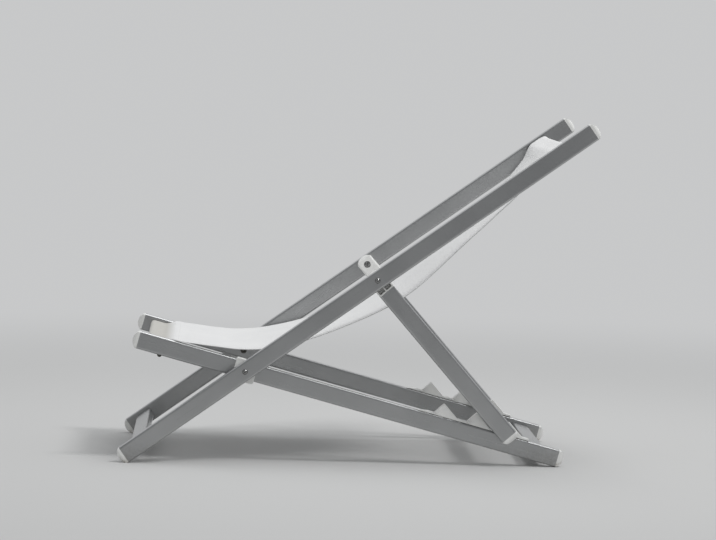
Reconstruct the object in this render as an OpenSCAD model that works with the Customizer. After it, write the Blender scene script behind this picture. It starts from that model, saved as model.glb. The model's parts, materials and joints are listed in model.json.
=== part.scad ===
// Folding deck chair: back frame, seat frame, prop with notch racks, fabric sling.
// +X points to the head end, +Y to the sitter's right, +Z up.
// The origin lies on the floor, below the middle of the chair.

/* [Tube] */
// Height of the rail tube, in the plane of its frame
tube_h = 40; // [36:1:46]
// Width of the rail tube, across the chair
tube_w = 20; // [18:0.5:22]
// Outer corner radius of the tube
tube_r = 5; // [3:0.5:6]
// Wall of the tube
tube_wall = 1.5; // [1.2:0.1:2.5]

/* [Whole chair] */
// Width over the outer faces of the back rails
chair_w = 600; // [540:5:680]
// Angle between back rails and seat rails in the lowest position
spread_angle = 50.5; // [47:0.5:54]

/* [Back frame] */
// Back rail from its lower tube end to the seat pivot
back_lower = 327; // [315:1:350]
// Back rail from the seat pivot to its upper tube end
back_upper = 941; // [925:5:1000]
// Distance from the seat pivot to the prop hinge
hinge_span = 358; // [350:1:366]
// Gap from the lower tube end to the foot crossbar
foot_bar_inset = 22; // [20:1:30]
// Gap from the upper tube end to the top crossbar
top_bar_inset = 62; // [40:1:66]

/* [Seat frame] */
// Seat rail from its front tube end to the pivot
seat_front = 247; // [235:1:255]
// Seat rail from the pivot to its rear tube end
seat_rear = 730; // [722:1:740]
// Gap from the front tube end to the front crossbar
front_bar_inset = 20; // [19:1:26]
// Gap from the rear tube end to the rear crossbar
rear_bar_inset = 25; // [20:1:30]
// Front crossbar screw, from the front tube end
front_screw_at = 54; // [48:1:56]

/* [Prop] */
// Prop from its hinge to the lower edge of its crossbar
prop_reach = 438; // [432:1:446]
// Prop from its hinge to its lower tube end
prop_end = 461; // [460:1:464]
// Prop from its hinge to the upper end of the strut tube
strut_start = 34; // [32:1:40]

/* [Notch racks] */
// Distance from one notch to the next
notch_pitch = 76; // [70:1:82]
// Height of a tooth above the notch floor
tooth_h = 24; // [20:0.5:28]
// Thickness of the rack under the notch floor
rack_base = 5; // [4:0.5:6]
// Radius of the tooth tip
tooth_tip_r = 1.6; // [1:0.2:2.4]
// Strip behind the last tooth
rack_tail = 18; // [12:1:26]
// Strip in front of the first tooth
rack_lead = 38; // [32:1:44]

/* [End caps] */
// Straight collar of an end cap
cap_collar = 2; // [1.5:0.5:4]
// Rise of the cap's dome seen from the side
cap_dome = 11; // [9:0.5:12]
// Rise of the cap's dome seen from above
cap_crown = 8; // [5:0.5:9]
// Depth of the cap's plug inside the tube
cap_plug = 16; // [10:1:18]
// Wall of the cap's plug
cap_plug_wall = 2; // [1.5:0.5:3]
// Depth of the flat that a foot cap stands on
foot_flat = 0.5; // [0.2:0.1:0.5]

/* [Pivot blocks] */
// Length and height of the block between back rail and seat rail
block_size = 50; // [46:1:56]
// Corner radius of the block
block_r = 4; // [2:0.5:8]
// How far the block's lips reach over the seat rail
lip_reach = 9; // [4:0.5:12]

/* [Fasteners] */
// Diameter of the bolt shanks
bolt_d = 6; // [5:0.5:7]
// Diameter of the domed bolt heads
head_d = 12.4; // [11:0.2:14]
// Height of the domed bolt heads
head_h = 4.4; // [3:0.2:5]
// Nut across its flats
nut_af = 10; // [9:0.5:11]
// Height of the straight part of a nut
nut_h = 4; // [3:0.5:4.5]
// Diameter of the washers
washer_d = 15; // [13:0.5:15.5]
// Thickness of the washers
washer_t = 1.2; // [0.8:0.1:1.6]
// Diameter of the recess for the hinge nut
nut_recess_d = 16.5; // [16:0.5:20]
// Depth of the recess for the hinge nut
nut_recess = 8; // [7:0.5:9]

/* [Sling] */
// Sling's side edge, inside the outer faces of the seat rails
sling_edge = 2; // [0.5:0.5:30]
// Thickness of the fabric
sling_t = 1.2; // [0.8:0.1:1.6]
// Deepest sag below the straight line between the bars
sling_sag = 145; // [120:1:160]
// Side gap between the narrow front pocket and the seat rails
pocket_side_gap = 6; // [3:1:12]
// Front pocket from the bar's edge to the wide body
shoulder_at = 16; // [12:1:24]

/* [Hidden] */
$fn = 48;

// clearances
run_gap = 0.05;
side_gap = 1;
seat_gap = 0.3;
fit_gap = 0.15;
cut = 2;

// places across the chair, on the right half
back_out = chair_w / 2;
back_in = back_out - tube_w;
prop_out = back_in - side_gap;
prop_in = prop_out - tube_w;
seat_out = prop_in - side_gap;
seat_in = seat_out - tube_w;

// cap dome: radius of its side arc, and the arc's centre beyond the tube end
half_h = tube_h / 2;
half_w = tube_w / 2;
dome_r = (half_h * half_h + cap_dome * cap_dome) / (2 * cap_dome);
dome_x = cap_collar + cap_dome - dome_r;
crown_r = (half_w * half_w + cap_crown * cap_crown) / (2 * cap_crown);
crown_x = cap_collar + cap_dome - crown_r;
cap_length = cap_collar + cap_dome;

// tilt of the back rails, so that both pairs of feet stand on the floor
back_foot_s = back_lower + dome_x;
seat_foot_s = seat_rear + cap_collar;
tilt_p = back_foot_s + seat_foot_s * cos(spread_angle) - half_h * sin(spread_angle);
tilt_q = seat_foot_s * sin(spread_angle) + half_h * cos(spread_angle);
back_tilt = atan2(tilt_q, tilt_p) + asin(-dome_r / sqrt(tilt_p * tilt_p + tilt_q * tilt_q));
seat_tilt = spread_angle - back_tilt;
pivot_z = back_foot_s * sin(back_tilt) + dome_r - foot_flat;
pivot_x = -(back_upper - back_lower) / 2 * cos(back_tilt);

// crossbars lie flat between their rails, and reach to the outer walls
bar_l = tube_h;
bar_h = tube_w;
half_bar = bar_l / 2;
foot_bar_s = -back_lower + foot_bar_inset + half_bar;
top_bar_s = back_upper - top_bar_inset - half_bar;
front_bar_s = -seat_front + front_bar_inset + half_bar;
rear_bar_s = seat_rear - rear_bar_inset - half_bar;
prop_bar_s = prop_reach - half_bar;

// prop angle below the seat rails, so that its bar rests on the rack's floor
floor_n = half_h + rack_base;
hinge_s = hinge_span * cos(spread_angle);
hinge_n = hinge_span * sin(spread_angle);
corner_along = prop_reach - tube_r;
corner_down = bar_h / 2 - tube_r;
prop_slope = asin((hinge_n - tube_r - floor_n - seat_gap)
        / sqrt(corner_along * corner_along + corner_down * corner_down))
    - atan2(corner_down, corner_along);
prop_fold = spread_angle + prop_slope;

// base of the last notch's steep wall, square to the prop
wall_reach = prop_reach + seat_gap;
last_wall_s = hinge_s + wall_reach * cos(prop_slope)
    + (floor_n - hinge_n + wall_reach * sin(prop_slope)) * tan(prop_slope);
notch_count = 3;
tooth_run = tooth_h * tan(prop_slope);
tooth_back = tooth_h / tan(prop_slope);
rack_start = last_wall_s - (notch_count - 1) * notch_pitch - rack_lead;
rack_stop = last_wall_s + tooth_run + tooth_back + rack_tail;
rack_nose = 24;
rack_stub = 1.5;
tip_step = 9;

// small screws
rack_screw_d = 4;
rack_screw_head_d = 8;
rack_screw_head_h = 2.4;
rack_screw_through = 4;
rack_screw_l = floor_n - rack_screw_head_h - half_h + tube_wall + rack_screw_through;
rack_screw_behind_wall = 11;
front_screw_d = 5;
front_screw_head_d = 11;
front_screw_head_h = 5;

// hinge plug: bearing boss and cored pockets on its outer face
plug_dome_s = -8;
boss_r = 12;
pocket_floor = 5;
pocket_rib = 3;
pocket_rim = 3.5;
plug_insert = 40;
hinge_washer_d = 22;

// domed nuts: the dome is narrower than the flats and sits a little into the hexagon
nut_dome_share = 0.9;
dome_sink_share = 0.12;

// hexagonal sockets in the bolt heads, and bolt ends past the plain hinge nuts
socket_af = 4;
socket_depth = 2.6;
bolt_past = 1.5;

// sling: its width, its gap off the bars, and its way between them
sling_w = 2 * (seat_out - sling_edge);
fabric_gap = 0.4;
fabric_off = fabric_gap + sling_t / 2;
sling_steps = 6;
shoulder_share = 2.5;
lift_share = 2.4;
rise_share = 0.8;
// shares along the chord from the front bar, and shares of the deepest sag
sling_shares = [
    [0.10, 0.40], [0.15, 0.60], [0.21, 0.765], [0.29, 0.90], [0.38, 0.98], [0.48, 1.00],
    [0.565, 0.945], [0.66, 0.79], [0.74, 0.645], [0.81, 0.51], [0.865, 0.41], [0.915, 0.28],
    [0.958, 0.135]];

// points and vectors in side view are [x, z]
function unit(a) = [cos(a), sin(a)];
function back_pt(s, n) = [pivot_x, pivot_z] + s * unit(back_tilt) + n * unit(back_tilt + 90);
function seat_pt(s, n) = [pivot_x, pivot_z] + s * unit(-seat_tilt) + n * unit(90 - seat_tilt);

function spline_at(a, b, c, d, t) = 0.5 * (2 * b + (c - a) * t
    + (2 * a - 5 * b + 4 * c - d) * t * t + (3 * b - a - 3 * c + d) * t * t * t);
function spline(p, steps) = [
    for (i = [1 : len(p) - 3]) for (k = [0 : steps - 1])
        spline_at(p[i - 1], p[i], p[i + 1], p[i + 2], k / steps),
    p[len(p) - 2]];
function normals(p) = [
    for (i = [0 : len(p) - 1])
        let (d = p[min(i + 1, len(p) - 1)] - p[max(i - 1, 0)]) [-d[1], d[0]] / norm(d)];
function ribbon(p, t, from, to) = let (n = normals(p)) concat(
    [for (i = [from : to]) p[i] + n[i] * t / 2],
    [for (i = [to : -1 : from]) p[i] - n[i] * t / 2]);

// rounded rectangle, a along x and b along y
module rounded_rect(a, b, r) {
    square([a - 2 * r, b], center = true);
    square([a, b - 2 * r], center = true);
    for (x = [-1, 1], y = [-1, 1])
        translate([x * (a / 2 - r), y * (b / 2 - r)]) circle(r);
}

// stretch of bar along +X, from a to b, with the profile's x across the chair
module along_x(a, b) {
    translate([a, 0, 0]) rotate([90, 0, 90]) linear_extrude(b - a) children();
}

// plate across the chair, from y0 to y1, drawn in side view
module across(y0, y1) {
    translate([0, y1, 0]) rotate([90, 0, 0]) linear_extrude(y1 - y0) children();
}

module in_back() {
    translate([pivot_x, 0, pivot_z]) rotate([0, -back_tilt, 0]) children();
}
module in_seat() {
    translate([pivot_x, 0, pivot_z]) rotate([0, seat_tilt, 0]) children();
}
module in_prop() {
    in_back() translate([hinge_span, 0, 0]) rotate([0, prop_fold, 0]) children();
}
module left() { mirror([0, 1, 0]) children(); }
module both() {
    children();
    left() children();
}

// round bar along +Y from y0 to y1
module pin(d, y0, y1) {
    translate([0, y0, 0]) rotate([-90, 0, 0]) cylinder(d = d, h = y1 - y0);
}

// hollow rail from a to b whose middle plane lies at y
module tube(a, b, y) {
    translate([0, y, 0]) difference() {
        along_x(a, b) rounded_rect(tube_w, tube_h, tube_r);
        along_x(a - cut, b + cut)
            rounded_rect(tube_w - 2 * tube_wall, tube_h - 2 * tube_wall, tube_r - tube_wall);
    }
}

// slot for a crossbar's end through a rail's inner wall, inner face at y
module bar_slot(s, y) {
    across(y - cut, y + tube_wall + cut) translate([s, 0])
        rounded_rect(bar_l + 2 * fit_gap, bar_h + 2 * fit_gap, tube_r + fit_gap);
}

// flat crossbar whose ends reach to y on both sides
module crossbar(s, y) {
    across(-y, y) translate([s, 0]) difference() {
        rounded_rect(bar_l, bar_h, tube_r);
        rounded_rect(bar_l - 2 * tube_wall, bar_h - 2 * tube_wall, tube_r - tube_wall);
    }
}

// cap on a tube that ends at x = 0, with its dome towards +X
module end_cap() {
    intersection() {
        along_x(0, cap_length) rounded_rect(tube_w, tube_h, tube_r);
        across(-tube_w, tube_w) union() {
            translate([0, -half_h]) square([cap_collar, tube_h]);
            intersection() {
                translate([dome_x, 0]) circle(dome_r, $fn = 96);
                translate([0, -half_h]) square([cap_length, tube_h]);
            }
        }
        translate([0, 0, -tube_h]) linear_extrude(2 * tube_h) union() {
            translate([0, -half_w]) square([cap_length - cap_crown, tube_w]);
            intersection() {
                translate([crown_x, 0]) circle(crown_r);
                translate([0, -half_w]) square([cap_length, tube_w]);
            }
        }
    }
    cap_insert(cap_plug);
}

// hollow plug of a cap inside its tube, towards -X
module cap_insert(depth) {
    w = tube_w - 2 * tube_wall - 2 * fit_gap;
    h = tube_h - 2 * tube_wall - 2 * fit_gap;
    r = tube_r - tube_wall;
    difference() {
        along_x(-depth, 0) rounded_rect(w, h, r);
        along_x(-depth - cut, -cap_plug_wall)
            rounded_rect(w - 2 * cap_plug_wall, h - 2 * cap_plug_wall, r / 2);
    }
}

// cap at a tube end at s, with side -1 for an end that points to -X
module cap_at(s, y, side) {
    translate([s, y, 0]) scale_x(side) end_cap();
}
module scale_x(side) {
    if (side < 0) mirror([1, 0, 0]) children();
    else children();
}

module above_floor() {
    difference() {
        children();
        translate([-chair_w * 2, -chair_w, -chair_w]) cube([chair_w * 4, chair_w * 2, chair_w]);
    }
}

// seat frame
module seat_rail() {
    color("silver") in_seat() difference() {
        tube(-seat_front, seat_rear, (seat_in + seat_out) / 2);
        pin(bolt_d + 2 * run_gap, seat_in - cut, seat_out + cut);
        bar_slot(front_bar_s, seat_in);
        bar_slot(rear_bar_s, seat_in);
        translate([-seat_front + front_screw_at, (seat_in + seat_out) / 2, -half_h - cut])
            cylinder(d = front_screw_d + 2 * run_gap, h = tube_wall + 2 * cut);
        for (s = rack_screw_places())
            translate([s, (seat_in + seat_out) / 2, half_h - tube_wall - cut])
                cylinder(d = rack_screw_d + 2 * run_gap, h = tube_wall + 2 * cut);
    }
}
module seat_front_crossbar() {
    color("silver") in_seat() difference() {
        crossbar(front_bar_s, seat_out - tube_wall - fit_gap);
        both() translate([-seat_front + front_screw_at, (seat_in + seat_out) / 2, -bar_h])
            cylinder(d = front_screw_d + 2 * run_gap, h = bar_h);
    }
}
module seat_rear_crossbar() {
    color("silver") in_seat() crossbar(rear_bar_s, seat_out - tube_wall - fit_gap);
}
module seat_front_cap() {
    color("white") in_seat() cap_at(-seat_front, (seat_in + seat_out) / 2, -1);
}
module seat_foot_cap() {
    color("white") above_floor() in_seat() cap_at(seat_rear, (seat_in + seat_out) / 2, 1);
}

// rack: a floor strip with teeth, steep in front and shallow behind
function rack_screw_places() = [
    for (i = [0 : notch_count - 1]) last_wall_s - i * notch_pitch - rack_screw_behind_wall];
function tooth(s) = let (
        rise = tooth_h - tooth_tip_r,
        tip_s = s + rise * tan(prop_slope) + tooth_tip_r / cos(prop_slope),
        back_s = tip_s + tooth_tip_r / sin(prop_slope) + rise / tan(prop_slope))
    concat([[s, floor_n]],
        [for (a = [180 - prop_slope : -tip_step : 90 - prop_slope])
            [tip_s, floor_n + rise] + tooth_tip_r * unit(a)],
        [[back_s, floor_n]]);
module notch_rack() {
    color("white") in_seat() difference() {
        across(seat_in, seat_out) polygon(concat(
            [[rack_start, half_h], [rack_start + rack_nose, floor_n]],
            tooth(last_wall_s - 2 * notch_pitch),
            tooth(last_wall_s - notch_pitch),
            tooth(last_wall_s),
            [[rack_stop - rack_stub, floor_n], [rack_stop, half_h]]));
        for (s = rack_screw_places())
            translate([s, (seat_in + seat_out) / 2, 0]) {
                cylinder(d = rack_screw_d + 2 * run_gap, h = floor_n + cut);
                translate([0, 0, floor_n - rack_screw_head_h])
                    cylinder(d = rack_screw_head_d + 2 * run_gap, h = rack_screw_head_h + cut);
            }
    }
}
module rack_screws() {
    color("gainsboro") both() in_seat() for (s = rack_screw_places())
        translate([s, (seat_in + seat_out) / 2, floor_n - rack_screw_head_h]) {
            cylinder(d = rack_screw_head_d, h = rack_screw_head_h - fit_gap);
            translate([0, 0, -rack_screw_l]) cylinder(d = rack_screw_d, h = rack_screw_l);
        }
}
module front_bar_screws() {
    dome = (front_screw_head_d * front_screw_head_d / 4 + front_screw_head_h * front_screw_head_h)
        / (2 * front_screw_head_h);
    color("dimgray") both() in_seat()
        translate([-seat_front + front_screw_at, (seat_in + seat_out) / 2, -half_h])
            mirror([0, 0, 1]) {
                rotate_extrude() intersection() {
                    translate([0, front_screw_head_h - dome]) circle(dome);
                    square([front_screw_head_d, front_screw_head_h]);
                }
                translate([0, 0, -(half_h - bar_h / 2 + 2 * tube_wall)])
                    cylinder(d = front_screw_d, h = half_h - bar_h / 2 + 2 * tube_wall);
            }
}

// block between the rails, with lips that hold it square on the seat rail
module pivot_block() {
    color("white") in_seat() difference() {
        union() {
            across(seat_out, back_in - run_gap) rounded_rect(block_size, block_size, block_r);
            across(seat_out - lip_reach, seat_out) difference() {
                rounded_rect(block_size, block_size, block_r);
                square([block_size + cut, tube_h + 2 * fit_gap], center = true);
            }
        }
        pin(bolt_d + 2 * run_gap, seat_out - cut, back_in + cut);
    }
}

// domed head on the outside, shank towards the middle of the chair
module dome_bolt(y_head, y_end) {
    dome = (head_d * head_d / 4 + head_h * head_h) / (2 * head_h);
    pin(bolt_d, y_end, y_head);
    translate([0, y_head, 0]) rotate([-90, 0, 0]) difference() {
        rotate_extrude() intersection() {
            translate([0, head_h - dome]) circle(dome);
            square([head_d, head_h]);
        }
        translate([0, 0, head_h - socket_depth])
            cylinder(d = socket_af / cos(30), h = socket_depth + cut, $fn = 6);
    }
}
// washer and plain hexagonal nut, seat at y
module plain_nut(y) {
    difference() {
        union() {
            pin(washer_d, y - washer_t, y);
            translate([0, y - washer_t - nut_h, 0]) rotate([-90, 0, 0])
                cylinder(d = nut_af / cos(30), h = nut_h, $fn = 6);
        }
        pin(bolt_d + 2 * run_gap, y - washer_t - nut_h - cut, y + cut);
    }
}
// domed nut with its washer, seat at y and dome towards the middle of the chair
module dome_nut(y) {
    dome_d = nut_af * nut_dome_share;
    difference() {
        union() {
            pin(washer_d, y - washer_t, y);
            translate([0, y - washer_t - nut_h, 0]) rotate([-90, 0, 0])
                cylinder(d = nut_af / cos(30), h = nut_h, $fn = 6);
            translate([0, y - washer_t - nut_h, 0]) rotate([90, 0, 0])
                rotate_extrude() intersection() {
                    translate([0, -dome_d * dome_sink_share]) circle(dome_d / 2);
                    square(dome_d);
                }
        }
        pin(bolt_d + 2 * run_gap, y - washer_t - nut_h, y + cut);
    }
}
module pivot_bolts() {
    color("gainsboro") both() in_seat() dome_bolt(back_out, seat_in - washer_t - nut_h + run_gap);
}
module pivot_nuts() { color("dimgray") both() in_seat() dome_nut(seat_in); }

// back frame
module back_rail() {
    color("silver") in_back() difference() {
        tube(-back_lower, back_upper, (back_in + back_out) / 2);
        pin(bolt_d + 2 * run_gap, back_in - cut, back_out + cut);
        translate([hinge_span, 0, 0]) pin(bolt_d + 2 * run_gap, back_in - cut, back_out + cut);
        bar_slot(foot_bar_s, back_in);
        bar_slot(top_bar_s, back_in);
    }
}
module back_top_crossbar() {
    color("silver") in_back() crossbar(top_bar_s, back_out - tube_wall - fit_gap);
}
module back_foot_crossbar() {
    color("silver") in_back() crossbar(foot_bar_s, back_out - tube_wall - fit_gap);
}
module back_top_cap() {
    color("white") in_back() cap_at(back_upper, (back_in + back_out) / 2, 1);
}
module back_foot_cap() {
    color("white") above_floor() in_back() cap_at(-back_lower, (back_in + back_out) / 2, -1);
}

// prop
module prop_strut() {
    color("silver") in_prop() difference() {
        tube(strut_start, prop_end, (prop_in + prop_out) / 2);
        bar_slot(prop_bar_s, prop_in);
    }
}
module prop_crossbar() {
    color("silver") in_prop() crossbar(prop_bar_s, prop_out - tube_wall - fit_gap);
}
module prop_foot_cap() {
    color("white") in_prop() cap_at(prop_end, (prop_in + prop_out) / 2, 1);
}
// moulded hinge end: dome, bearing boss, cored pockets and a plug inside the strut
module prop_hinge_plug() {
    mid = (prop_in + prop_out) / 2;
    color("white") in_prop() {
        difference() {
            union() {
                translate([plug_dome_s, mid, 0]) intersection() {
                    mirror([1, 0, 0]) end_cap();
                    along_x(-cap_length, cut) square([tube_w, tube_h], center = true);
                }
                translate([0, mid, 0]) along_x(plug_dome_s, strut_start)
                    rounded_rect(tube_w, tube_h, tube_r);
            }
            pin(bolt_d + 2 * run_gap, prop_in - cut, prop_out + cut);
            pin(nut_recess_d, prop_in - cut, prop_in + nut_recess);
            across(prop_in + pocket_floor, prop_out + cut) difference() {
                translate([0, pocket_rim - half_h])
                    square([strut_start - pocket_rim, tube_h - 2 * pocket_rim]);
                circle(boss_r);
                translate([0, -pocket_rib / 2]) square([strut_start, pocket_rib]);
            }
        }
        translate([strut_start, mid, 0]) mirror([1, 0, 0]) cap_insert(plug_insert);
    }
}
module hinge_bolts() {
    color("gainsboro") both() in_prop()
        dome_bolt(back_out, prop_in + nut_recess - washer_t - nut_h - bolt_past);
}
module hinge_nuts() { color("dimgray") both() in_prop() plain_nut(prop_in + nut_recess); }
module hinge_washers() {
    color("white") both() in_prop() difference() {
        pin(hinge_washer_d, prop_out + run_gap, back_in - run_gap);
        pin(bolt_d + 2 * run_gap, prop_out - cut, back_in + cut);
    }
}

// sling: pockets round both crossbars, and one hanging sheet
function sling_path() = let (
        face = bar_h / 2 + fabric_off,
        top = back_pt(top_bar_s - half_bar, face),
        front = seat_pt(front_bar_s + half_bar - tube_r, face + sling_t * rise_share),
        chord = top - front,
        lift = sling_t + seat_gap,
        down = [chord[1], -chord[0]] / norm(chord))
    spline(concat(
        [seat_pt(front_bar_s - half_bar + tube_r, face), seat_pt(front_bar_s, face), front,
            seat_pt(front_bar_s + half_bar + shoulder_at, half_h + lift),
            seat_pt(front_bar_s + half_bar + shoulder_at * shoulder_share, half_h + lift * lift_share)],
        [for (q = sling_shares) front + q[0] * chord + q[1] * sling_sag * down],
        [top, back_pt(top_bar_s - half_bar / 2, face), back_pt(top_bar_s, face)]), sling_steps);
module pocket_loop(p, tilt) {
    translate(p) rotate(tilt) difference() {
        rounded_rect(bar_l + 2 * fabric_gap + 2 * sling_t, bar_h + 2 * fabric_gap + 2 * sling_t,
            tube_r + fabric_gap + sling_t);
        rounded_rect(bar_l + 2 * fabric_gap, bar_h + 2 * fabric_gap, tube_r + fabric_gap);
    }
}
module sling() {
    path = sling_path();
    shoulder = 2 * sling_steps;
    narrow = seat_in - pocket_side_gap;
    color("white") {
        across(-narrow, narrow) {
            pocket_loop(seat_pt(front_bar_s, 0), -seat_tilt);
            polygon(ribbon(path, sling_t, 0, shoulder + 1));
        }
        across(-sling_w / 2, sling_w / 2) {
            pocket_loop(back_pt(top_bar_s, 0), back_tilt);
            polygon(ribbon(path, sling_t, shoulder, len(path) - 1));
        }
    }
}

left() seat_rail();  // seat_rail_left
seat_rail();  // seat_rail_right
seat_front_crossbar();
seat_rear_crossbar();
left() seat_front_cap();  // seat_front_cap_left
seat_front_cap();  // seat_front_cap_right
left() seat_foot_cap();  // seat_foot_cap_left
seat_foot_cap();  // seat_foot_cap_right
left() notch_rack();  // notch_rack_left
notch_rack();  // notch_rack_right
rack_screws();
front_bar_screws();
left() pivot_block();  // pivot_block_left
pivot_block();  // pivot_block_right
pivot_bolts();
pivot_nuts();
left() back_rail();  // back_rail_left
back_rail();  // back_rail_right
back_top_crossbar();
back_foot_crossbar();
left() back_top_cap();  // back_top_cap_left
back_top_cap();  // back_top_cap_right
left() back_foot_cap();  // back_foot_cap_left
back_foot_cap();  // back_foot_cap_right
left() prop_strut();  // prop_strut_left
prop_strut();  // prop_strut_right
prop_crossbar();
left() prop_hinge_plug();  // prop_hinge_plug_left
prop_hinge_plug();  // prop_hinge_plug_right
left() prop_foot_cap();  // prop_foot_cap_left
prop_foot_cap();  // prop_foot_cap_right
hinge_bolts();
hinge_nuts();
hinge_washers();
sling();
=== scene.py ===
import json
import math

import bpy
import bmesh
from mathutils import Matrix, Vector
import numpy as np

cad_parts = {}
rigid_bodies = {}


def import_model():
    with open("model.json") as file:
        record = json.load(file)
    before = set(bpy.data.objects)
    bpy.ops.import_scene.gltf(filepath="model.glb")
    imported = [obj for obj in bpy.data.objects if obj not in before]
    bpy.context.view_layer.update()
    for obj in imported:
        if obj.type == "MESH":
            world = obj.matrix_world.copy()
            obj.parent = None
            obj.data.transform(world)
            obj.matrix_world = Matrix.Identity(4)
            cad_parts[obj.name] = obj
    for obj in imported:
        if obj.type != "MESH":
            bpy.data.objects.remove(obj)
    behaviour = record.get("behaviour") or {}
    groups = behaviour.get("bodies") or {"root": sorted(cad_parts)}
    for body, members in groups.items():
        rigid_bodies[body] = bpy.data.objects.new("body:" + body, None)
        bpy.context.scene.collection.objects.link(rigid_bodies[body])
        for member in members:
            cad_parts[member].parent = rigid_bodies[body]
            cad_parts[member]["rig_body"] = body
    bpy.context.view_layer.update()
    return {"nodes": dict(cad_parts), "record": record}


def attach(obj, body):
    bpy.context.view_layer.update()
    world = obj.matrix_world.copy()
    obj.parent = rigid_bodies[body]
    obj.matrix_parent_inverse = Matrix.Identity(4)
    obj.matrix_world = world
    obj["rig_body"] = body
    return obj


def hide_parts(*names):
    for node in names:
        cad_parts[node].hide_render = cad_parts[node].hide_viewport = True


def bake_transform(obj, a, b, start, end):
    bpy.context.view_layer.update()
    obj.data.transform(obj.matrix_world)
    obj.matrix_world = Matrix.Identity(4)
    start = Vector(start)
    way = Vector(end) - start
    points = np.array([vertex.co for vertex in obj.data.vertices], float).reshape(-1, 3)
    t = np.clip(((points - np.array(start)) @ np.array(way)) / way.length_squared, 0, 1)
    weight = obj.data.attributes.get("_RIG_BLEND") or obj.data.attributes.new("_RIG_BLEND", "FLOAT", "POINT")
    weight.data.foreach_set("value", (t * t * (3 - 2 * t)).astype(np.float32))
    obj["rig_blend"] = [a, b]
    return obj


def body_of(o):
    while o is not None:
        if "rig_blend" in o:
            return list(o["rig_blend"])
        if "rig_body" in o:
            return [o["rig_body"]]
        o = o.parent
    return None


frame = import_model()
nodes = frame["nodes"]
slotOf = {part["node"]: part["material_slot"] for part in frame["record"]["subparts"]}
print("loaded", len(nodes), "CAD nodes")

camera = {
    "place": (-0.31017, -7.965, 0.94575),
    "yaw": 2.295,  # degrees towards +X
    "pitch": -3.780,
    "roll": 1.190,
    "focalPixels": 3460.4,
    "frameWidth": 716,  # pixels
    "sensor": 36,  # millimetres
    "seesTo": 60,
}


def aimCamera(c):
    yaw, pitch, roll = (math.radians(c[k]) for k in ("yaw", "pitch", "roll"))
    ahead = Vector((
        math.sin(yaw) * math.cos(pitch), math.cos(yaw) * math.cos(pitch), math.sin(pitch)))
    side = Vector((math.cos(yaw), -math.sin(yaw), 0))
    up = side.cross(ahead)
    right = side * math.cos(roll) + up * math.sin(roll)
    top = -side * math.sin(roll) + up * math.cos(roll)
    turn = Matrix((right, top, -ahead)).transposed().to_4x4()
    bpy.ops.object.camera_add()
    cam = bpy.context.object
    cam.name = "photoCamera"
    cam.matrix_world = Matrix.Translation(c["place"]) @ turn
    cam.data.sensor_width = c["sensor"]
    cam.data.lens = c["focalPixels"] / c["frameWidth"] * c["sensor"]
    cam.data.clip_end = c["seesTo"]
    bpy.context.scene.camera = cam


aimCamera(camera)
print("camera set")

studio = {
    "backdrop": (0.575, 0.58, 0.585, 1),
    "frontSide": (0.27, 0.275, 0.28, 1),  # a darker front side, seen in reflections only
    "turnsDark": (0.25, -0.35),  # Y of the directions where it starts and where it is full
    "ceiling": (0.92, 0.93, 0.95, 1),
    "ceilingSpan": (0.25, 0.8),  # sine of the heights where it starts to show and is full
    "lightLow": (0.40, 0.405, 0.41, 1),  # light from the room's sides
    "lightHigh": (0.58, 0.59, 0.60, 1),  # light from right above
    "overheadLamp": {
        "place": (0.5, 0.1, 2.6), "aim": (0.1, 0.0, 0.3), "size": (2.6, 0.9), "power": 21},
    "sunLamp": {"from": (0.50, -0.33, 0.80), "strength": 0.8, "spread": 12},
    "floor": (0.60, 0.60, 0.595, 1),
    "floorRoughness": 0.9,
    "floorShine": 0.1,
    "floorRadius": 9,
    "floorSides": 96,
    "fade": (1.5, 4.2),  # metres out over which the floor takes the backdrop's colour
}


def nodeTools(tree):
    def add(kind, **values):
        n = tree.nodes.new(kind)
        for key, value in values.items():
            if key in n.inputs:
                n.inputs[key].default_value = value
            else:
                setattr(n, key, value)
        return n
    return add, tree.links.new


def axesOf(add, link, vector):
    n = add("ShaderNodeSeparateXYZ")
    link(vector, n.inputs[0])
    return n.outputs


def maths(add, link, operation, a, b):
    n = add("ShaderNodeMath", operation=operation)
    link(a, n.inputs[0])
    link(b, n.inputs[1])
    return n.outputs[0]


def eased(add, link, value, span):
    # 0 before the span and 1 after it
    n = add("ShaderNodeMapRange", interpolation_type="SMOOTHSTEP",
            **{"From Min": span[0], "From Max": span[1]})
    link(value, n.inputs["Value"])
    return n.outputs[0]


def twoColours(add, link, value, span, first, second):
    ramp = add("ShaderNodeValToRGB")
    for element, where, colour in zip(ramp.color_ramp.elements, span, (first, second)):
        element.position = where
        element.color = colour
    link(value, ramp.inputs[0])
    return ramp.outputs[0]


def tinted(add, link, share, under, over):
    # the fixed colour over, laid by its share on under, which is fixed too or a socket
    n = add("ShaderNodeMix", data_type="RGBA")  # its colours are inputs 6 and 7
    link(share, n.inputs[0])
    if isinstance(under, tuple):
        n.inputs[6].default_value = under
    else:
        link(under, n.inputs[6])
    n.inputs[7].default_value = over
    return n.outputs[2]


def mixShaders(add, link, share, under, over):
    n = add("ShaderNodeMixShader")
    for k, value in enumerate((share, under.outputs[0], over.outputs[0])):
        link(value, n.inputs[k])
    return n.outputs[0]


def seenRays(add, link):
    # 1 for the rays that show the room: straight from the camera, mirrored or through glass
    ray = add("ShaderNodeLightPath").outputs
    mirrored = maths(add, link, "MAXIMUM", ray["Is Glossy Ray"], ray["Is Transmission Ray"])
    return maths(add, link, "MAXIMUM", ray["Is Camera Ray"], mirrored)


def roomColour(add, link, direction, plain, s):
    # the plain colour; in reflections it darkens towards the front
    dark = eased(add, link, axesOf(add, link, direction)["Y"], s["turnsDark"])
    glossy = add("ShaderNodeLightPath").outputs["Is Glossy Ray"]
    return tinted(add, link, maths(add, link, "MULTIPLY", dark, glossy), plain, s["frontSide"])


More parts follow.
